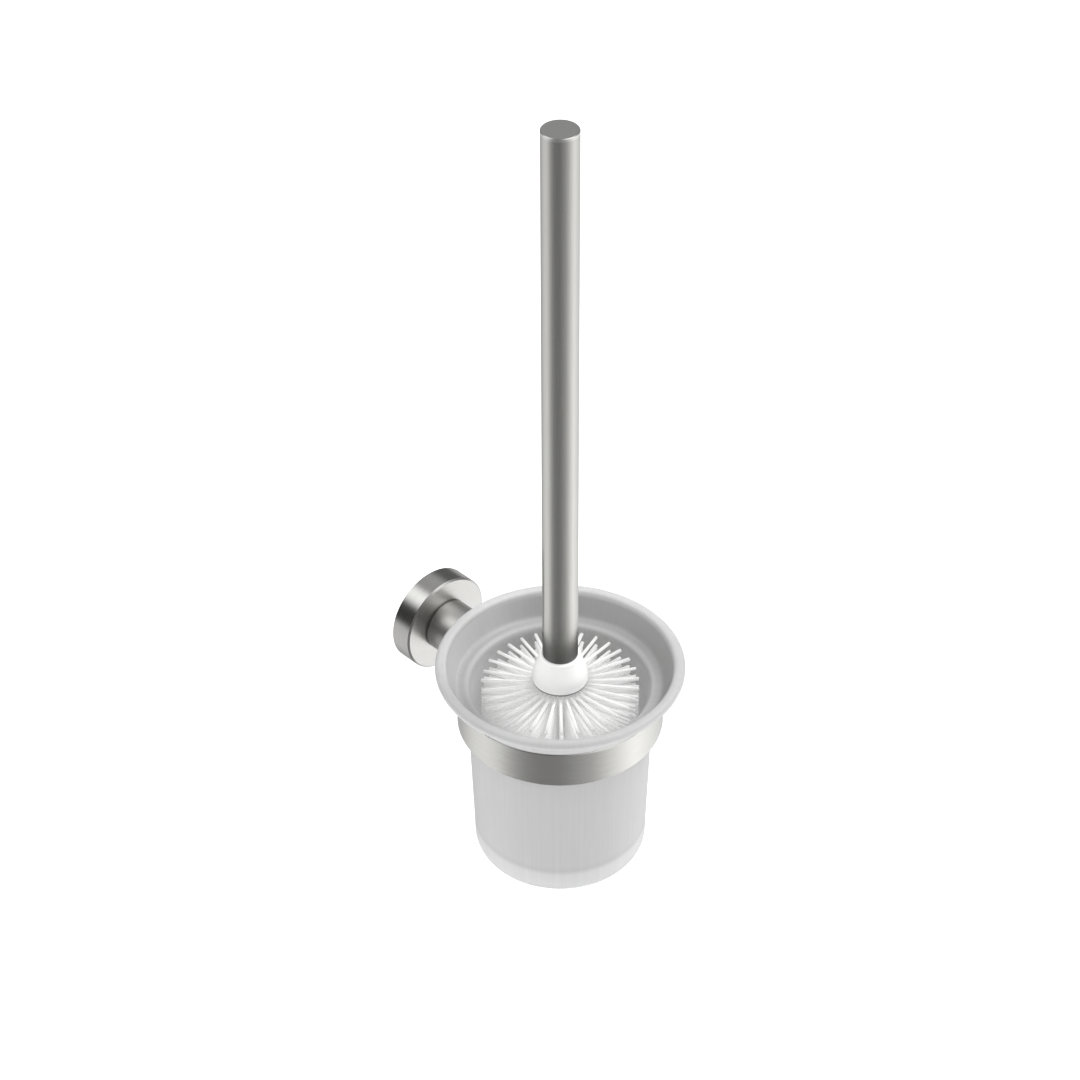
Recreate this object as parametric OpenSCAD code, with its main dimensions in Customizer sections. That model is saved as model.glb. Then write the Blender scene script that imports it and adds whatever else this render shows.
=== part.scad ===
// Wall-mounted toilet brush holder: a frosted glass cup sits in a metal ring
// carried by an arm and a round rosette; a brush on a tube handle stands in it.
// Millimetres, +Z up. Origin: centre of the rosette on the wall plane, +Y into
// the wall, so the holder stands out towards -Y.

/* [Holder] */
// wall plane to cup axis
reach = 88.3; // [70:0.1:110]
// rosette diameter
rosette_d = 47.4; // [40:0.2:60]
// rosette depth
rosette_t = 11.2; // [8:0.2:16]
// diameter of the arm's base collar
collar_d = 25.2; // [20:0.1:32]
// length of the arm's base collar
collar_len = 14; // [8:1:20]
// arm bar diameter
bar_d = 14; // [10:1:16]
// ring outside diameter
ring_d = 94; // [90:1:100]
// ring height
ring_h = 18.2; // [12:0.2:22]
// ring wall
ring_t = 1.8; // [1.2:0.1:2.5]
// spacing of the two wall screw holes
screw_spacing = 28; // [24:1:30]

/* [Glass cup] */
// height of the rim above the arm axis
rim_z = 22.7; // [18:0.1:30]
// rim outside diameter
rim_d = 113; // [105:1:120]
// cup depth from rim to underside
cup_h = 107.7; // [100:0.1:120]
// body radius under the ring seat
body_r_top = 42.5; // [40:0.1:43]
// body radius near the bottom
body_r_low = 40.0; // [38:0.1:42]
// glass wall
glass_t = 2.8; // [2:0.1:4]
// thickness of the base
base_t = 6; // [4:0.5:10]
// rounding of the bottom edge
base_round = 8.5; // [4:0.5:14]

/* [Brush] */
// handle tube diameter
handle_d = 16; // [14:0.5:20]
// handle tube bottom above the rim
handle_low = 6; // [2:0.5:10]
// handle top above the rim
handle_top = 273.7; // [220:0.1:320]
// handle tube wall
handle_t = 1.2; // [0.8:0.1:2]
// brush diameter over the bristles
brush_d = 72; // [60:1:72]
// top of the bristles below the rim
brush_top = 10.5; // [10:0.1:16]
// bottom of the bristles below the rim
brush_low = 101.2; // [80:0.1:101.2]

/* [Hidden] */
$fn = 96;
e = 0.01;
face_t = 2;                              // front wall of the rosette
side_t = 3;                              // side wall of the rosette
rosette_r = rosette_d / 2;
plate_r = rosette_r - side_t - 0.2;      // wall plate inside the rosette
plate_t = 5;
ring_r = ring_d / 2;
ring_in = ring_r - ring_t;
ring_top = ring_h / 2;
liner_in = ring_in - 1.5;
seat_z = ring_top + 0.3 - rim_z;         // glass shoulder, below the rim
lip_r = 2.2;                             // rounding of the rim
hub_low = -8.7;                          // underside of the brush collar
core_r = 10.5;
hub_r = 12.5;
stud_r = 3.9;
inner_r = handle_d / 2 - handle_t;

// ---- helpers ----
// an arc of radius r about (x, y), from angle a to b in n steps
function arc(x, y, r, a, b, n) =
    [for (i = [0:n]) let (t = a + (b - a) * i / n) [x + r * cos(t), y + r * sin(t)]];
// a cubic curve from p to s with handles q and u
function curve(p, q, u, s, n) =
    [for (i = [0:n]) let (t = i / n, v = 1 - t)
        v*v*v * p + 3*v*v*t * q + 3*v*t*t * u + t*t*t * s];

// a ring profile with chamfered corners
module band(r0, r1, z0, z1, c) {
    rotate_extrude()
        polygon([[r0 + c, z0], [r1 - c, z0], [r1, z0 + c], [r1, z1 - c],
                 [r1 - c, z1], [r0 + c, z1], [r0, z1 - c], [r0, z0 + c]]);
}
// a disc or rod on +Z with a chamfer at either end
module rod(r, z0, z1, c0, c1) {
    rotate_extrude()
        polygon([[0, z0], [r - c0, z0], [r, z0 + c0], [r, z1 - c1], [r - c1, z1], [0, z1]]);
}
// children made on +Z are turned to run out of the wall, towards -Y
module out() rotate([90, 0, 0]) children();
// children made about the cup axis with z = 0 at the rim
module at_cup() translate([0, -reach, rim_z]) children();

// ---- wall fixing ----
module wall_bracket() color("silver") out() difference() {
    rod(plate_r, 0, plate_t, 0.3, 0.6);
    // room for the arm screw's head
    translate([0, 0, -1]) cylinder(r = 8.5, h = plate_t + 2);
    for (s = [-1, 1]) translate([s * screw_spacing / 2, 0, 0]) {
        translate([0, 0, -1]) cylinder(r = 2.5, h = plate_t + 2);
        translate([0, 0, plate_t - 2]) cylinder(r1 = 2.5, r2 = 4.52, h = 2.02);
    }
    // groove for the point of the grub screw
    rotate_extrude() polygon([[plate_r + 1, 1], [plate_r - 1.2, 2.7], [plate_r + 1, 4.4]]);
}

module rosette() color("gainsboro") out() difference() {
    rod(rosette_r, 0, rosette_t, 0.2, 0.8);
    translate([0, 0, -1]) cylinder(r = rosette_r - side_t, h = rosette_t - face_t + 1);
    cylinder(r = 3.2, h = rosette_t + 1);
    translate([0, 0, 2.7]) rotate([90, 0, 0]) cylinder(r = 2.05, h = rosette_r + 1);
}

// headless screw with a hexagon socket and a cone point, under the rosette
module grub_screw() color("dimgray") out() translate([0, 0, 2.7]) rotate([90, 0, 0])
    difference() {
        rotate_extrude() polygon([[0, plate_r - 0.8], [2, plate_r + 1.2], [2, rosette_r - 0.6],
                                  [1.8, rosette_r - 0.4], [0, rosette_r - 0.4]]);
        translate([0, 0, rosette_r - 2]) cylinder(r = 1.15, h = 3, $fn = 6);
    }

// ---- arm: turned collar and bar, end cut to the ring ----
module arm() color("gainsboro") difference() {
    out() {
        translate([0, 0, rosette_t]) rod(collar_d / 2, 0, collar_len, 0.3, 1);
        translate([0, 0, rosette_t + 1]) cylinder(r = bar_d / 2, h = reach - ring_in - rosette_t);
    }
    translate([0, -reach, -50]) cylinder(r = ring_r, h = 100);
    out() translate([0, 0, rosette_t - 1]) cylinder(r = 3, h = 16);
    out() translate([0, 0, reach - ring_r - 11]) cylinder(r = 2.5, h = 14);
}

// screw from inside the rosette into the arm
module arm_screw() color("dimgray") out() difference() {
    union() {
        translate([0, 0, rosette_t - face_t - 4]) rod(5, 0, 4, 0.8, 0);
        translate([0, 0, rosette_t - face_t - 1]) cylinder(r = 2.98, h = 16);
    }
    translate([0, 0, rosette_t - face_t - 5]) cylinder(r = 2.9, h = 3.4, $fn = 6);
}

// ---- ring with its screw and liner ----
module holder_ring() color("gainsboro") difference() {
    translate([0, -reach, 0]) band(ring_in, ring_r, -ring_top, ring_top, 0.35);
    out() translate([0, 0, reach - ring_r - 2]) cylinder(r = 2.7, h = 6);
}

// flat headed screw from inside the ring, its head let into the liner
module ring_screw() color("dimgray") difference() {
    union() {
        intersection() {
            out() translate([0, 0, reach - ring_in - 3]) cylinder(r = 4, h = 4.4);
            translate([0, -reach, -10]) cylinder(r = ring_in, h = 20);
        }
        out() translate([0, 0, reach - ring_r - 10]) cylinder(r = 2.48, h = 13);
    }
    out() translate([0, 0, reach - ring_in + 0.4]) cylinder(r = 1.7, h = 3, $fn = 6);
}

module ring_liner() color("whitesmoke") difference() {
    translate([0, -reach, 0]) rotate_extrude()
        polygon([[liner_in, -ring_top - 0.7], [ring_in - 0.3, -ring_top - 0.7],
                 [ring_in - 0.02, -ring_top - 0.4], [ring_in - 0.02, ring_top - 0.4],
                 [ring_in - 0.3, ring_top - 0.1], [liner_in, ring_top - 0.1]]);
    out() translate([0, 0, reach - ring_in - 2]) cylinder(r = 4.5, h = 6);
}

// ---- glass cup: flared rim, shoulder that rests on the ring, deep body ----
function cup_outside() = concat(
    [[0, -cup_h]],
    arc(body_r_low - base_round, base_round - cup_h, base_round, -90, -2, 12),
    [[body_r_top, seat_z - 2]],
    arc(body_r_top + 1, seat_z - 1, 1, 180, 90, 4),
    curve([rim_d/2 - 10.2, seat_z], [rim_d/2 - 7.6, seat_z],
          [rim_d/2 - 6.3, -10.2], [rim_d/2 - 4.9, -8], 10),
    arc(rim_d/2 - lip_r, -lip_r, lip_r, -42, 165, 20));
function cup_inside() = concat(
    [[rim_d/2 - 4.8, -3.2], [rim_d/2 - 8.4, -9]],
    curve([rim_d/2 - 9, -10], [rim_d/2 - 9.6, -10.9],
          [rim_d/2 - 10.3, -11.3], [rim_d/2 - 11.5, -11.4], 6),
    curve([rim_d/2 - 13, -11.5], [rim_d/2 - 15.4, -11.7],
          [body_r_top - glass_t + 0.2, -13.4], [body_r_top - glass_t, -17.4], 8),
    [[body_r_low - glass_t, base_t + 6 - cup_h]],
    arc(body_r_low - glass_t - 6, base_t + 6 - cup_h, 6, -6, -90, 8),
    [[0, base_t - cup_h]]);
module glass_cup() color("lightcyan", 0.6) at_cup() rotate_extrude()
    polygon(concat(cup_outside(), cup_inside()));

// ---- handle ----
module handle_tube() color("silver") at_cup() difference() {
    translate([0, 0, handle_low]) cylinder(r = handle_d / 2, h = handle_top - 1.5 - handle_low);
    translate([0, 0, handle_low - 1]) cylinder(r = inner_r, h = handle_top);
}

module handle_end_cap() color("silver") at_cup() rotate_extrude()
    polygon([[0, handle_top - 12], [inner_r - 0.6, handle_top - 12],
             [inner_r - 0.03, handle_top - 11], [inner_r - 0.03, handle_top - 1.5],
             [handle_d/2, handle_top - 1.5], [handle_d/2, handle_top - 0.3],
             [handle_d/2 - 0.3, handle_top], [0, handle_top]]);

// bush pressed into the tube, tapped for the head's stud
module handle_insert() color("goldenrod") at_cup() difference() {
    translate([0, 0, handle_low]) cylinder(r = inner_r - 0.03, h = 22);
    translate([0, 0, handle_low - 1]) cylinder(r = stud_r + 0.08, h = 19);
}

// ---- brush head ----
module head_stud() color("silver") at_cup() rod(stud_r, hub_low - 14.3, handle_low + 15, 0.6, 0.8);

module brush_collar() color("white") at_cup() difference() {
    rotate_extrude() polygon(concat(
        [[0, hub_low], [hub_r - 0.4, hub_low], [hub_r, hub_low + 0.4]],
        curve([hub_r, hub_low + 1.3], [hub_r, hub_low + 5.7],
              [10.2, hub_low + 9.2], [9.4, hub_low + 13.3], 10),
        arc(8.4, handle_low - 1.3, 1, 0, 90, 4), [[0, handle_low - 0.3]]));
    translate([0, 0, hub_low - 1]) cylinder(r = stud_r, h = 20);
}

module brush_core() color("white") at_cup() difference() {
    rotate_extrude() polygon(concat(
        [[0, hub_low], [core_r - 0.8, hub_low], [core_r - 0.8, hub_low - 1], [core_r, hub_low - 1]],
        arc(core_r - 5, 11 - brush_low, 5, 0, -90, 6), [[0, 6 - brush_low]]));
    translate([0, 0, hub_low - 14.3]) cylinder(r = stud_r, h = 20);
}

// the bristles as one plain envelope around the core
module bristles() color("white") at_cup() difference() {
    rotate_extrude() polygon(concat([[0, -brush_top], [brush_d/2 - 1, -brush_top],
        [brush_d/2, -brush_top - 1]],
        arc(brush_d/2 - 14, 14 - brush_low, 14, 0, -90, 12), [[0, -brush_low]]));
    translate([0, 0, -brush_low + 11]) cylinder(r = core_r, h = 200);
    rotate_extrude() polygon(concat([[0, 20 - brush_low], [core_r, 20 - brush_low]],
        arc(core_r - 5, 11 - brush_low, 5, 0, -90, 6), [[0, 6 - brush_low]]));
}

/* [Parts] */
// sub-part to show

wall_bracket();
rosette();
grub_screw();
arm();
arm_screw();
holder_ring();
ring_screw();
ring_liner();
glass_cup();
handle_tube();
handle_end_cap();
handle_insert();
head_stud();
brush_collar();
brush_core();
bristles();
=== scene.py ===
"""Looks of the wall-mounted toilet brush holder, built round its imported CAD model."""
import math
import random

import bpy
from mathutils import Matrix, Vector


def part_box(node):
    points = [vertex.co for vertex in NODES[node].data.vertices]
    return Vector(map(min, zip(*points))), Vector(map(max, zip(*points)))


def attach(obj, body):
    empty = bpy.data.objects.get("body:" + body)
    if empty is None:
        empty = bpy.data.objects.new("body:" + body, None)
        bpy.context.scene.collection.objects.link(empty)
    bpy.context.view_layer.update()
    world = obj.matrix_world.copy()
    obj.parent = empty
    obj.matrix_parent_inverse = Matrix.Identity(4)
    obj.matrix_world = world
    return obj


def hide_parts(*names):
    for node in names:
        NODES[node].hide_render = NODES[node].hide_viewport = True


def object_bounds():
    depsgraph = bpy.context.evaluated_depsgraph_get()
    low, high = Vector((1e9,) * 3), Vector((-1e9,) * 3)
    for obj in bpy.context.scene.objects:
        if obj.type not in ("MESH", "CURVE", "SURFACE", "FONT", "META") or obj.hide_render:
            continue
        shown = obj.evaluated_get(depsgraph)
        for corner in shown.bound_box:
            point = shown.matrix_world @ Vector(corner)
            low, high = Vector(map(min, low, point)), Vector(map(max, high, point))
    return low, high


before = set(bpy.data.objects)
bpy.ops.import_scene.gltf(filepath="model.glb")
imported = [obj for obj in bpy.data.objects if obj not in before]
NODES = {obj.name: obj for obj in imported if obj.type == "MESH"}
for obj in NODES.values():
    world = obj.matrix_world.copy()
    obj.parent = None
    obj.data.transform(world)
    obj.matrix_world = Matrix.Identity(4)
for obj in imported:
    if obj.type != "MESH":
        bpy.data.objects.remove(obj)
CAD_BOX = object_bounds()

# ---- places, all from the CAD boxes ----
cup_lo, cup_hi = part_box("glass_cup")
AX = Vector(((cup_lo[0] + cup_hi[0]) / 2, (cup_lo[1] + cup_hi[1]) / 2, cup_hi[2]))  # rim centre
RIM_R = (cup_hi[0] - cup_lo[0]) / 2
CUP_H = cup_hi[2] - cup_lo[2]
br_lo, br_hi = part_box("bristles")
BRUSH_R = (br_hi[0] - br_lo[0]) / 2
core_lo, core_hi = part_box("brush_core")
CORE_R = (core_hi[0] - core_lo[0]) / 2
MM = 0.001

# directions of the main view, level with the floor: BACK towards the camera, SIDE to its right
CAM_AZ, CAM_EL = math.radians(-44), math.radians(37.88)
BACK = Vector((math.sin(CAM_AZ), -math.cos(CAM_AZ), 0))
SIDE = Vector((math.cos(CAM_AZ), math.sin(CAM_AZ), 0))
# painted light: the paler part of the flare is fixed on the side of the cup that this direction points away
# from
PAINTED_LIGHT_AZ = math.radians(-44)
PAINTED_LIGHT_FROM = Vector((math.cos(PAINTED_LIGHT_AZ), math.sin(PAINTED_LIGHT_AZ), 0))


# ---- node helpers ----
class Graph:
    """Short calls that build one node tree and hand back the new node's output. A value is a
    socket, a number, a vector or a colour."""

    def __init__(self, tree):
        self.nodes, self.links = tree.nodes, tree.links

    def feed(self, socket, value):
        if isinstance(value, bpy.types.NodeSocket):
            self.links.new(value, socket)
        elif value is not None:
            socket.default_value = value

    def add(self, kind, values=(), **props):
        """A new node, with values for its inputs in their order, or by name in a dict."""
        n = self.nodes.new(kind)
        for k, v in props.items():
            setattr(n, k, v)
        for key, value in values.items() if isinstance(values, dict) else enumerate(values):
            self.feed(n.inputs[key], value)
        return n

    def local(self, centre=(0, 0, 0)):
        """The place on the object, measured from centre."""
        return self.vector("SUBTRACT", self.add("ShaderNodeTexCoord").outputs["Object"], centre)

    def math(self, operation, *values, **props):
        return self.add("ShaderNodeMath", values, operation=operation, **props).outputs[0]

    def vector(self, operation, *values):
        n = self.add("ShaderNodeVectorMath", values, operation=operation)
        return n.outputs["Value" if operation in ("LENGTH", "DOT_PRODUCT") else "Vector"]

    def split(self, vector):
        return self.add("ShaderNodeSeparateXYZ", (vector,)).outputs

    def combine(self, *values):
        return self.add("ShaderNodeCombineXYZ", values).outputs[0]

    def stretch(self, vector, scale):
        return self.add("ShaderNodeMapping", {"Vector": vector, "Scale": scale}).outputs[0]

    def noise(self, vector, scale, detail=2.0, roughness=0.5):
        return self.add("ShaderNodeTexNoise", {"Vector": vector, "Scale": scale, "Detail": detail,
                                               "Roughness": roughness}).outputs["Fac"]

    def ramp(self, value, stops):
        """stops: (place from 0 to 1, grey or colour)."""
        n = self.add("ShaderNodeValToRGB", (value,))
        elements = n.color_ramp.elements
        while len(elements) < len(stops):
            elements.new(0.5)
        for element, (place, c) in zip(elements, stops):
            element.position = place
            element.color = (c, c, c, 1) if isinstance(c, (int, float)) else (*c, 1)
        return n.outputs["Color"]

    def remap(self, value, span, result, **props):
        """value from span = (low, high) to result = (low, high)."""
        return self.add("ShaderNodeMapRange", {"Value": value, "From Min": span[0], "From Max": span[1],
                                               "To Min": result[0], "To Max": result[1]}, **props).outputs[0]

    def blend(self, a, b, factor, **props):
        """a where factor is 0, b where it is 1."""
        return self.add("ShaderNodeMix", {"Factor": factor, "A": a, "B": b}, data_type="RGBA",
                        **props).outputs["Result"]

    def times(self, a, b):
        return self.blend(a, b, 1.0, blend_type="MULTIPLY")

    def bump(self, height, strength, distance):
        return self.add("ShaderNodeBump", {"Height": height, "Strength": strength,
                                           "Distance": distance}).outputs[0]


def material(name):
    """A new material, its graph and its shader's inputs."""
    m = bpy.data.materials.new(name)
    m.use_nodes = True
    return m, Graph(m.node_tree), m.node_tree.nodes["Principled BSDF"].inputs


def give(obj, *mats):
    while obj.data.materials:
        obj.data.materials.pop()
    for m in mats:
        obj.data.materials.append(m)


# ---- materials ----
def brushed(name, colour, rough, grain, centre=(0, 0, 0), aniso=0.0, axis="Z", bump=0.04, wear=0.05,
            side=1.0, face=0.0):
    """Brushed or turned metal. grain stretches the streak noise: (x, y, z) frequencies in
    1/mm, or (around, along) for streaks that run round the Z or Y axis through centre.
    side darkens the surfaces that run along the axis, a painted shade; face
    roughens the surfaces that cut the axis."""
    m, g, shader = material(name)
    place = g.local(centre)
    if len(grain) == 2:
        x, y, z = g.split(place)
        u, v, along = (x, y, z) if axis == "Z" else (x, z, y)
        radius = g.vector("LENGTH", g.combine(u, v))
        streak_at = g.combine(g.math("ARCTAN2", u, v), radius, along)
        scale = (grain[0], grain[1] / MM, grain[1] / MM)
    else:
        streak_at = place
        scale = tuple(frequency / MM for frequency in grain)
    streak = g.noise(g.stretch(streak_at, scale), 1.0, 3.0, 0.65)
    clouds = g.noise(place, 60.0)
    # colour: fine streaks, and painted shade that darkens where the surface runs along the axis
    dark = tuple(c * 0.9 for c in colour)
    light = tuple(min(1, c * 1.05) for c in colour)
    tone = g.ramp(streak, [(0.3, dark), (0.7, light)])
    normal = g.split(g.add("ShaderNodeNewGeometry").outputs["Normal"])
    cuts_axis = g.math("ABSOLUTE", normal[axis])
    # painted shade on the surfaces that run along the axis
    if side < 1:
        tone = g.times(tone, g.ramp(cuts_axis, [(0.3, side), (0.8, 1.0)]))
    g.feed(shader["Base Color"], tone)
    # roughness: streaks plus clouding
    uneven = g.math("MULTIPLY_ADD", clouds, 0.5, streak)
    roughness = g.remap(uneven, (0.3, 1.2), (rough - wear, rough + wear))
    if face:
        roughness = g.math("MULTIPLY_ADD", cuts_axis, face, roughness)
    g.feed(shader["Roughness"], roughness)
    g.feed(shader["Normal"], g.bump(streak, bump, 0.2 * MM))
    shader["Metallic"].default_value = 1.0
    if aniso:
        shader["Anisotropic"].default_value = aniso
        g.feed(shader["Tangent"], g.add("ShaderNodeTangent", direction_type="RADIAL", axis=axis).outputs[0])
    return m


def grainy(g, shader, grain, rough, bump):
    """Fine grain in the roughness and the bump of a surface."""
    g.feed(shader["Roughness"], g.remap(grain, (0, 1), (rough - 0.06, rough + 0.06)))
    g.feed(shader["Normal"], g.bump(grain, bump, 0.1 * MM))


def mottled(name, colour, rough, size, spread=0.04):
    """A plain moulded surface with fine mottling in colour, roughness and bump."""
    m, g, shader = material(name)
    place = g.local()
    slow = g.noise(place, size * 0.06, 1.0)
    g.feed(shader["Base Color"], g.ramp(slow, [(0.3, tuple(c * (1 - spread) for c in colour)),
                                               (0.7, tuple(min(1, c * (1 + spread)) for c in colour))]))
    grainy(g, shader, g.noise(place, size, 4.0), rough, 0.02)
    return m


def shade_along(m, start, end, first, last, axis="Z", zero=AX[2]):
    """Multiplies the colour by first at start to last at end, in mm along the axis from zero."""
    g = Graph(m.node_tree)
    colour = g.nodes["Principled BSDF"].inputs["Base Color"]
    before = colour.links[0].from_socket
    shade = g.remap(g.split(g.local())[axis], (zero + start * MM, zero + end * MM), (first, last))
    g.feed(colour, g.times(before, shade))


def nylon_material():
    """White nylon that lets light through, with painted light: a faint glow that stands in for the light a
    thick bundle of filaments scatters.
    """
    m = mottled("white_nylon", (0.74, 0.74, 0.735), 0.35, 400, spread=0.02)
    g = Graph(m.node_tree)
    shader = g.nodes["Principled BSDF"]
    # painted light: the glow stands in for light scattered between the filaments
    shader.inputs["Emission Color"].default_value = (1, 1, 1, 1)
    shader.inputs["Emission Strength"].default_value = 0.23
    thin = g.add("ShaderNodeBsdfTranslucent", {"Color": (0.95, 0.95, 0.95, 1)})
    both = g.add("ShaderNodeMixShader", (0.35, shader.outputs[0], thin.outputs[0]))
    g.feed(g.nodes["Material Output"].inputs["Surface"], both.outputs[0])
    return m


def frosted(name, tone_and_painted_light_by_height, rough, clear, painted_light=0.0):
    """Frosted glass: tone by height (mm from the rim), partly painted light and shade, fine upright streaks,
    grainy
    surface and painted light: a paler patch, fixed on one side of the flare."""
    m, g, shader = material(name)
    place = g.local(tuple(AX))
    x, y, z = g.split(place)
    up = g.remap(z, (-CUP_H, 0), (0, 1))

    def by_height(stops):
        return g.ramp(up, [(1 + height * MM / CUP_H, c) for height, c in stops])

    streak_at = g.combine(g.math("ARCTAN2", x, y), None, z)
    streak = g.noise(g.stretch(streak_at, (22, 22, 14)), 1.0, 3.0, 0.6)
    vary = g.ramp(streak, [(0.3, 0.94), (0.7, 1.0)])
    # painted light: the flare is paler on one side of the cup
    across = g.vector("DOT_PRODUCT", place, PAINTED_LIGHT_FROM)
    lean = g.remap(across, (-0.85 * RIM_R, -0.1 * RIM_R), (painted_light, 0), interpolation_type="SMOOTHSTEP")
    on_flare = by_height([(-11.4, 0), (-10.6, 1), (-2.4, 1), (-1.4, 0)])
    streaks_and_painted_light = g.times(vary, g.math("MULTIPLY_ADD", lean, on_flare, 1.0))
    g.feed(shader["Base Color"], g.times(by_height(tone_and_painted_light_by_height), streaks_and_painted_light))
    grainy(g, shader, g.noise(g.local(), 2500.0, 4.0), rough, 0.05)
    shader["Transmission Weight"].default_value = clear
    return m


CUP_AXIS = tuple(AX)
handle_metal = brushed("handle_satin_steel", (0.65, 0.645, 0.62), 0.25, (7, 7, 0.05), CUP_AXIS,
                       bump=0.012, wear=0.03)
# painted shade on the handle
shade_along(handle_metal, 40, 270, 1.0, 0.88)             # a little darker towards its top
cap_metal = brushed("cap_satin_steel", (0.72, 0.72, 0.70), 0.3, (2, 9, 2), CUP_AXIS, bump=0.08)
ring_metal = brushed("ring_brushed_steel", (0.73, 0.725, 0.70), 0.24, (3, 5), CUP_AXIS, aniso=0.1,
                     bump=0.08)
# painted shade: side darkens the rosette's rim and the arm's sides
rosette_metal = brushed("rosette_turned_steel", (0.71, 0.706, 0.688), 0.22, (3, 5),
                        aniso=0.2, axis="Y", bump=0.06, side=0.69, face=0.1)
arm_metal = brushed("arm_turned_steel", (0.66, 0.655, 0.635), 0.42, (3, 5), axis="Y", bump=0.05, side=0.95)
shade_along(arm_metal, -12.6, -11.4, 1.0, 0.4, "Y", 0)    # shadow where it meets the rosette
bracket_metal = brushed("bracket_zinc_steel", (0.6, 0.6, 0.62), 0.4, (0.5, 0.5, 0.5), bump=0.1)
screw_metal = brushed("screw_steel", (0.55, 0.55, 0.54), 0.3, (1.5, 1.5, 1.5), bump=0.05)
brass_metal = brushed("insert_brass", (0.72, 0.55, 0.28), 0.3, (3, 5), CUP_AXIS, bump=0.05)
liner_plastic = mottled("liner_milky_plastic", (0.76, 0.77, 0.76), 0.4, 900)
white_plastic = mottled("white_moulded_plastic", (0.93, 0.93, 0.925), 0.35, 1200, spread=0.015)
collar_plastic = mottled("white_collar_plastic", (0.93, 0.93, 0.925), 0.35, 1200, spread=0.015)
shade_along(collar_plastic, -8.7, -8.3, 0.22, 1.0)     # shadow line at its foot
nylon = nylon_material()
# the tones by height are partly painted light and shade: the outside is lighter on the lip's underside; the
# inside is painted shade, darker on the flare and deep down, and lighter at the ledge
glass_out = frosted("frosted_glass", [(-107, 0.84), (-94, 0.79), (-91.4, 0.63), (-88, 0.67), (-16, 0.67),
                                      (-12, 0.80), (-6, 0.90), (-2.2, 0.86), (0, 0.60)], 0.46, 0.38)
glass_in = frosted("frosted_glass_inside", [(-100, 0.7), (-22, 0.5), (-13.5, 0.42), (-12.6, 0.40),
                                            (-12.0, 0.46), (-11.5, 0.46), (-11.2, 0.335), (-2.4, 0.335),
                                            (-1.4, 0.48), (0, 0.55)], 0.36, 0.22, painted_light=0.55)

looks = {"handle_tube": handle_metal, "handle_end_cap": cap_metal, "holder_ring": ring_metal,
         "rosette": rosette_metal, "arm": arm_metal, "wall_bracket": bracket_metal,
         "grub_screw": screw_metal, "arm_screw": screw_metal, "ring_screw": screw_metal,
         "head_stud": screw_metal, "handle_insert": brass_metal, "ring_liner": liner_plastic,
         "brush_core": white_plastic}
for node, look in looks.items():
    give(NODES[node], look)


# ---- lathed pieces ----
def spline(pts):
    """A smooth Catmull-Rom line through pts."""
    per_span = 6
    line = []
    ends = [pts[0]] + list(pts) + [pts[-1]]
    for i in range(1, len(ends) - 2):
        a, b, c, d = (Vector(q) for q in ends[i - 1:i + 3])
        for k in range(per_span):
            t = k / per_span
            line.append(0.5 * ((2 * b) + (c - a) * t + (2 * a - 5 * b + 4 * c - d) * t * t
                               + (3 * b - a - 3 * c + d) * t * t * t))
    line.append(Vector(pts[-1]))
    return [tuple(v) for v in line]


def arc(x, y, r, a, b, n):
    """n + 1 points round the centre (x, y) from angle a to b, in degrees."""
    return [(x + r * math.cos(math.radians(a + (b - a) * i / n)),
             y + r * math.sin(math.radians(a + (b - a) * i / n))) for i in range(n + 1)]


def link(name, data):
    """A new object in the scene, from a mesh, a light or a camera."""
    ob = bpy.data.objects.new(name, data)
    bpy.context.scene.collection.objects.link(ob)
    return ob


def lathe(name, profile, around, inside_from=None):
    """A closed solid of revolution about the cup's axis, with around points to a ring. profile runs
    from the axis to the axis, in mm from the rim's centre. Its rings from inside_from on take the
    second material."""
    verts, faces, mats = [], [], []
    rings = []
    for r, z in profile:
        if r == 0:
            rings.append([len(verts)])
            verts.append((AX[0], AX[1], AX[2] + z * MM))
        else:
            rings.append(list(range(len(verts), len(verts) + around)))
            for k in range(around):
                a = 2 * math.pi * k / around
                verts.append((AX[0] + r * MM * math.cos(a), AX[1] + r * MM * math.sin(a),
                              AX[2] + z * MM))
    for i in range(len(rings) - 1):
        a, b = rings[i], rings[i + 1]
        for k in range(around):
            j = (k + 1) % around
            if len(a) == 1:
                faces.append((a[0], b[j], b[k]))
            elif len(b) == 1:
                faces.append((a[k], a[j], b[0]))
            else:
                faces.append((a[k], a[j], b[j], b[k]))
            mats.append(0 if inside_from is None or i < inside_from else 1)
    mesh = bpy.data.meshes.new(name)
    mesh.from_pydata(verts, [], faces)
    mesh.polygons.foreach_set("material_index", mats)
    mesh.polygons.foreach_set("use_smooth", [True] * len(mesh.polygons))
    return link(name, mesh)


R = RIM_R / MM
H = CUP_H / MM
# the outside from the base's centre up to the lip, then the inside from the lip down
outer = ([(0, -H), (20, -H)] + arc(40 - 8.5, 8.5 - H, 8.5, -90, -2, 14)
         + [(40.3, -87), (41.2, -59), (42.0, -31), (42.5, -15.5)]
         + arc(43.5, -14.3, 1.0, 180, 90, 6) + [(45, -13.3)]
         + spline([(R - 10.6, -13.3), (R - 9.2, -12.8), (R - 7.9, -11.3), (R - 6.5, -9.2),
                   (R - 4.9, -7.1), (R - 0.7, -2.8)])
         + arc(R - 2.2, -1.4, 2.2, -38, 90, 18) + arc(R - 3.1, -1.4, 2.2, 90, 165, 11))
inner = (spline([(R - 5.5, -1.9), (R - 6.7, -4.8), (R - 8.3, -8.4), (R - 9.5, -10.6),
                 (R - 11.2, -11.35), (R - 13.2, -11.5), (R - 15.2, -12.4), (R - 16.3, -14.2),
                 (39.7, -17.4)])
         + [(39.2, -31), (38.4, -59), (37.6, -85)]
         + arc(31.2, -95.7, 6, -4, -90, 10) + [(16, -101.7), (0, -101.7)])
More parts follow.
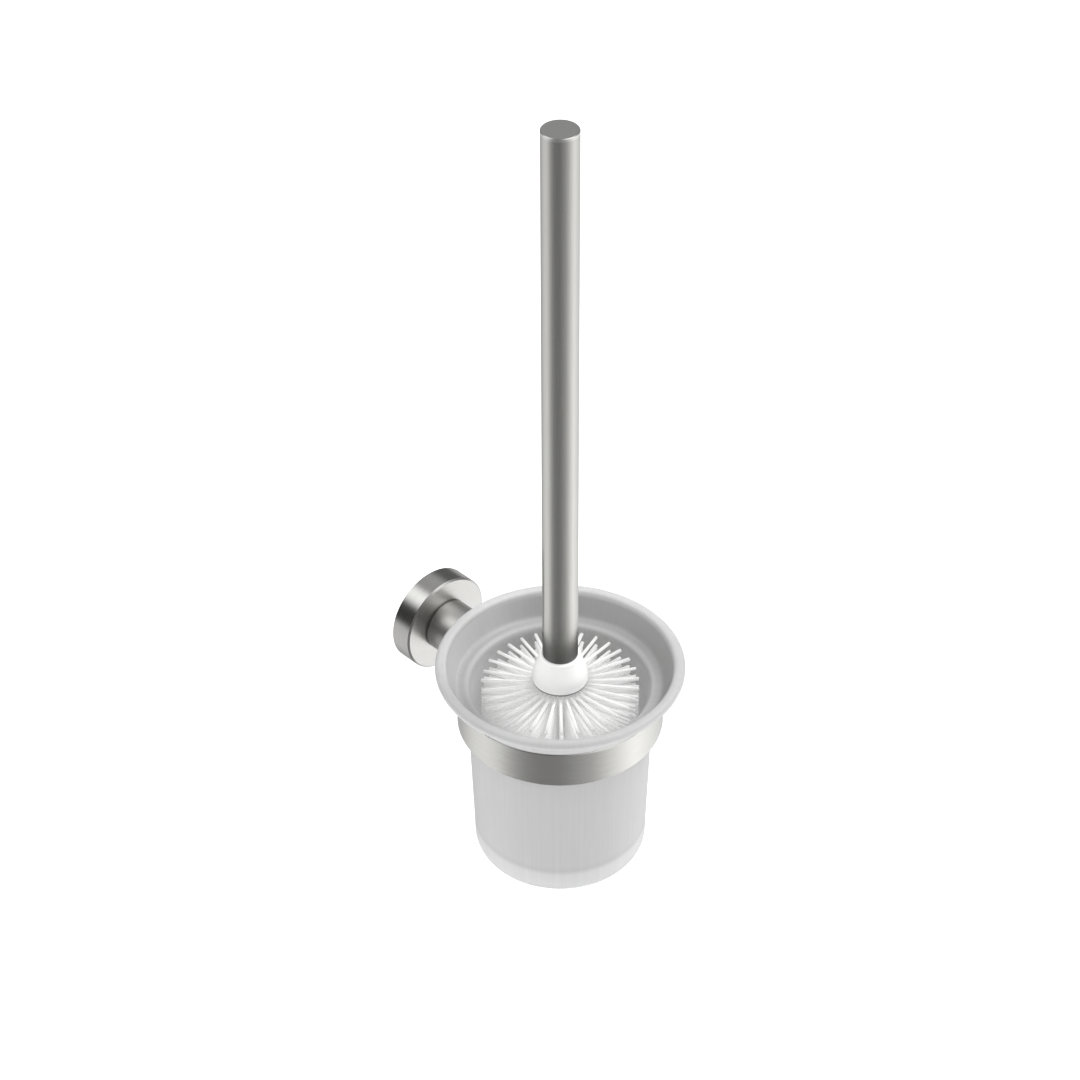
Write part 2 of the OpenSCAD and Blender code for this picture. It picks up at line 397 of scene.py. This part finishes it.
lip_edge = len(outer) - 6                    # the lip's inner edge, where the inside glass starts
cup = lathe("cup_frosted_glass", outer + inner, 192, lip_edge)
cup.visible_glossy = False
give(cup, glass_out, glass_in)
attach(cup, "cup")
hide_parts("glass_cup")

collar = lathe("collar_white_plastic",
               [(0, -9.5), (11.9, -9.5)] + arc(12.1, -9.2, 0.3, -90, 0, 5) + [(12.45, -8.6)]
               + spline([(12.5, -7.4), (12.35, -4.6), (11.6, -1.6), (10.5, 1.4), (9.5, 4.3)])
               + arc(8.5, 4.8, 0.9, 5, 90, 7) + [(0, 5.7)], 96)
give(collar, collar_plastic)
collar.visible_glossy = False
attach(collar, "brush_head")
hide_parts("brush_collar")


# ---- bristles: bundles of filaments set in rows round the core ----
SIDES, STEPS = 6, 3                          # faces round a filament, and lengths that it bends in
FILAMENT_R = (0.16, 0.2)
TUFT_R = 0.58                                # at the core; a tuft is wider by SPLAY at its tips
SPLAY = 0.15
GOLDEN = 2.4                                 # turn from filament to filament within a tuft


def filament(rnd, verts, faces, bearing, row, tuft, place, fat):
    """One bent filament, in the tuft at the bearing. row: (tilt, root radius, length), tuft:
    (height, lean), place: (distance, angle) from the middle of the tuft."""
    tilt, root, length = row
    height, lean = tuft
    distance, angle = place
    sideways, up = distance * math.cos(angle), distance * math.sin(angle)
    reach = length + rnd.gauss(0, 0.1) - 0.5 * distance * distance
    radius = fat * rnd.uniform(*FILAMENT_R)
    first = len(verts)
    bend = rnd.gauss(0, 0.08)
    for s in range(STEPS + 1):
        t = s / STEPS
        along = reach * t
        spread = 1 + SPLAY * t
        x = root + along * math.cos(tilt) + up * spread * math.sin(tilt)
        y = sideways * spread + bend * t * t
        z = height - along * math.sin(tilt) + up * spread * math.cos(tilt) + lean * along
        for q in range(SIDES):
            side = 2 * math.pi * q / SIDES
            lift = radius * math.sin(side)
            px = x + lift * math.sin(tilt)
            py = y + radius * math.cos(side)
            pz = z + lift * math.cos(tilt)
            verts.append((AX[0] + MM * (px * math.cos(bearing) - py * math.sin(bearing)),
                          AX[1] + MM * (px * math.sin(bearing) + py * math.cos(bearing)),
                          AX[2] + MM * pz))
    for s in range(STEPS):
        for q in range(SIDES):
            i, j = first + s * SIDES + q, first + s * SIDES + (q + 1) % SIDES
            faces.append((i, j, j + SIDES, i + SIDES))
    faces.append(tuple(first + q for q in reversed(range(SIDES))))
    faces.append(tuple(first + STEPS * SIDES + q for q in range(SIDES)))


def tufts(name, rows, seed, many=19, fat=1.0):
    """Bundles of bent filaments. rows: (height at the core, tilt below the horizontal, root radius,
    length, tufts in the row), in mm and radians. many filaments make a tuft, fat times as thick."""
    rnd = random.Random(seed)
    verts, faces = [], []
    for height, tilt, root, length, count in rows:
        for k in range(count):
            bearing = TURN + 2 * math.pi * k / count + rnd.gauss(0, 0.003)
            tuft = (height + rnd.gauss(0, 0.06), rnd.gauss(0, 0.006))
            for f in range(many):
                angle = f * GOLDEN + rnd.random()
                place = (TUFT_R * math.sqrt((f + 0.5) / many), angle)
                filament(rnd, verts, faces, bearing, (tilt, root, length), tuft, place, fat)
    mesh = bpy.data.meshes.new(name)
    mesh.from_pydata(verts, [], faces)
    mesh.polygons.foreach_set("use_smooth", [len(p.vertices) == 4 for p in mesh.polygons])
    ob = link(name, mesh)
    give(ob, nylon)
    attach(ob, "brush_head")
    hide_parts("bristles")
    ob.visible_glossy = False


RC, RB = CORE_R / MM, BRUSH_R / MM
TOP = (br_hi[2] - AX[2]) / MM - 1.0          # first row, below the rim
LOW = (core_lo[2] - AX[2]) / MM              # end of the core
COUNT, PITCH, ROWS = 31, 4.7, 17
TURN = math.atan2(BACK[1], BACK[0]) + 0.02   # one column faces the main view


def straight(i):
    """Row i down from the top, level, with i + 0.5 half way to the next."""
    return TOP - PITCH * i, 0.0, RC - 0.5, RB - RC + 0.3, COUNT


tip = [(LOW + 5.0, 0.16, RC - 0.8, RB - RC - 0.5, COUNT),
       (LOW + 3.4, 0.42, RC - 2.2, 17.0, 24),
       (LOW + 1.4, 0.80, RC - 4.2, 8.5, 16),
       (LOW + 0.4, 1.25, RC - 7.0, 5.8, 9)]
tufts("bristle_tufts_upper", [straight(i) for i in range(6)], 11)
tufts("bristle_tufts_middle", [straight(i) for i in range(6, 12)], 12)
tufts("bristle_tufts_lower", [straight(i) for i in range(12, ROWS)] + tip, 13)
# coarser rows half way between, from under the second row down
tufts("bristle_tufts_between", [straight(i + 0.5) for i in range(1, ROWS - 1)], 14, many=8, fat=1.45)


# ---- floor, light and camera ----
FLOOR_Z = CAD_BOX[0][2] - 0.13               # the holder hangs this far above the floor
FLOOR_HALF = 6.0
corners = [(x * FLOOR_HALF, y * FLOOR_HALF, FLOOR_Z) for x, y in ((-1, -1), (1, -1), (1, 1), (-1, 1))]
floor_mesh = bpy.data.meshes.new("floor")
floor_mesh.from_pydata(corners, [], [(0, 1, 2, 3)])
floor = link("floor", floor_mesh)
pale, g, shader = material("pale_floor")
g.feed(shader["Base Color"], g.ramp(g.noise(None, 3.0), [(0.0, 0.96), (1.0, 0.98)]))
shader["Roughness"].default_value = 0.9
shader["Specular IOR Level"].default_value = 0.0
give(floor, pale)
floor.visible_glossy = False

world = bpy.data.worlds.new("studio")
bpy.context.scene.world = world
world.use_nodes = True
world.cycles.sampling_method = "NONE"
g = Graph(world.node_tree)
g.nodes.clear()
toward = g.add("ShaderNodeTexCoord").outputs["Generated"]
bearing = g.math("ARCTAN2", g.vector("DOT_PRODUCT", toward, SIDE), g.vector("DOT_PRODUCT", toward, BACK))
turn = g.remap(bearing, (-math.pi, math.pi), (0, 1))
# studio panels by compass bearing, from behind the object round to behind it again: pale below
# the horizon at either side, a dark belt at the horizon, and two soft boxes overhead
below = g.ramp(turn, [(0.0, 0.5), (0.1, 0.5), (0.19, 0.88), (0.25, 0.96), (0.3, 0.8), (0.34, 0.49),
                     (0.38, 0.31), (0.43, 0.235), (0.5, 0.235), (0.6, 0.46), (0.67, 0.88), (0.75, 1.32),
                     (0.88, 0.9), (1.0, 0.55)])
belt = g.ramp(turn, [(0.0, 0.2), (0.25, 0.05), (0.5, 0.12), (0.75, 0.22), (1.0, 0.16)])
above = g.ramp(turn, [(0.0, 0.65), (0.09, 0.5), (0.13, 0.5), (0.165, 1.6), (0.2, 2.0), (0.25, 1.8),
                     (0.3, 1.0), (0.38, 0.12), (0.5, 0.12), (0.58, 0.6), (0.64, 1.4), (0.75, 1.8),
                     (0.85, 0.9), (0.93, 0.6), (1.0, 0.65)])
height = g.split(toward)["Z"]
low_half = g.blend(below, belt, g.remap(height, (-0.22, -0.02), (0, 1)))
whole = g.blend(low_half, above, g.remap(height, (0.48, 0.66), (0, 1)))
# only reflections see the panels; plain white lights everything else and fills the background
panels = g.add("ShaderNodeBackground", {"Color": whole})
white = g.add("ShaderNodeBackground", {"Color": (1, 1, 1, 1)})
ray = g.add("ShaderNodeLightPath").outputs
mirrored = g.math("SUBTRACT", ray["Is Glossy Ray"], ray["Is Transmission Ray"], use_clamp=True)
pick = g.add("ShaderNodeMixShader", (mirrored, white.outputs[0], panels.outputs[0]))
g.add("ShaderNodeOutputWorld", {"Surface": pick.outputs[0]})


def panel(name, where, at, size, watts):
    """A round light of the size across, in metres, that no reflection shows."""
    lamp = bpy.data.lights.new(name, "AREA")
    lamp.shape = "DISK"
    lamp.size = size
    lamp.energy = watts
    ob = link(name, lamp)
    ob.location = where
    ob.rotation_euler = (at - where).to_track_quat("-Z", "Y").to_euler()
    ob.visible_glossy = False


aim = AX + Vector((0, 0, 0.02))
panel("key_panel", AX + SIDE * 0.75 - BACK * 0.5 + Vector((0, 0, 1.2)), aim, 0.8, 18)
panel("fill_panel", AX - SIDE * 1.2 + BACK * 0.6 + Vector((0, 0, 1.0)), aim, 1.2, 5)

CAM_DISTANCE = 1.2438
CAM_TARGET = AX + Vector((0, 0, 0.07005))
cam_data = bpy.data.cameras.new("camera")
cam_data.lens = 95.3
cam_data.sensor_width = 36.0
cam_data.shift_x = -0.0187
cam_data.dof.use_dof = False
cam = link("camera", cam_data)
view_dir = BACK * math.cos(CAM_EL) + Vector((0, 0, math.sin(CAM_EL)))
cam.location = CAM_TARGET + view_dir * CAM_DISTANCE
cam.rotation_euler = (-view_dir).to_track_quat("-Z", "Y").to_euler()
bpy.context.scene.camera = cam
bpy.context.scene.view_settings.view_transform = "Standard"
bpy.context.scene.view_settings.look = "None"
